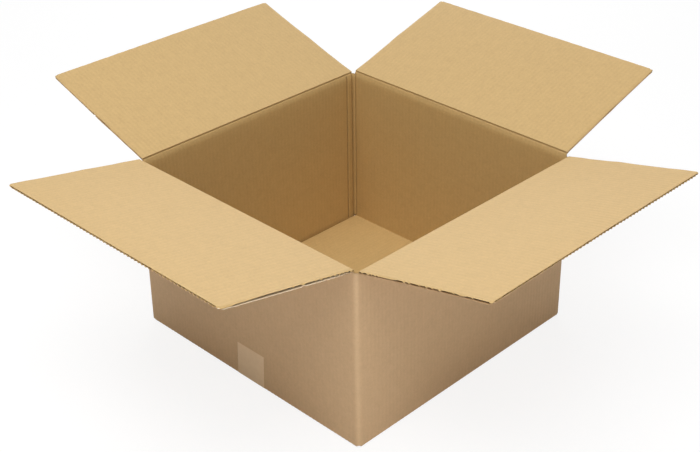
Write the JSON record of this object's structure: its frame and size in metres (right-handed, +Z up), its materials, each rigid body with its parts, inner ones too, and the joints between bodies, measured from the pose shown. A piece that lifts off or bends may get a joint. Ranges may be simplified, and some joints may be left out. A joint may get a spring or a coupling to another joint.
{
  "type": "open cardboard box",
  "caption": "Square slotted carton in single-wall corrugated board, bottom flaps closed with a strip of tape, top flaps open.",
  "frame": {"origin": "middle of the underside, on the plane the box stands on", "axes": "+Z up, +X to the right wall, -Y to the front wall, whose flap swings towards the viewer"},
  "size_m": [0.7817, 0.7845, 0.3109],
  "materials": {
    "kraft_board": "matt brown kraft",
    "flap_board": "matt brown kraft",
    "tape": "clear film over kraft, satin"
  },
  "bodies": {
    "box": {"box_shell": "kraft_board", "packing_tape": "tape"},
    "front_flap": {"flap_front": "flap_board"},
    "right_flap": {"flap_right": "flap_board"},
    "back_flap": {"flap_back": "flap_board"},
    "left_flap": {"flap_left": "flap_board"}
  },
  "joints": [
    {"name": "flap_front_fold", "type": "hinge", "parent": "box", "child": "front_flap", "pos_m": [0, -0.2, 0.25], "axis": [-1, 0, 0], "range_deg": [-99.5, 168.5]},
    {"name": "flap_right_fold", "type": "hinge", "parent": "box", "child": "right_flap", "pos_m": [0.2, 0, 0.2467], "axis": [0, -1, 0], "range_deg": [-101.7, 166.3]},
    {"name": "flap_back_fold", "type": "hinge", "parent": "box", "child": "back_flap", "pos_m": [0, 0.2, 0.25], "axis": [1, 0, 0], "range_deg": [-104.8, 163.2]},
    {"name": "flap_left_fold", "type": "hinge", "parent": "box", "child": "left_flap", "pos_m": [-0.2, 0, 0.2467], "axis": [0, 1, 0], "range_deg": [-106, 162]}
  ]
}
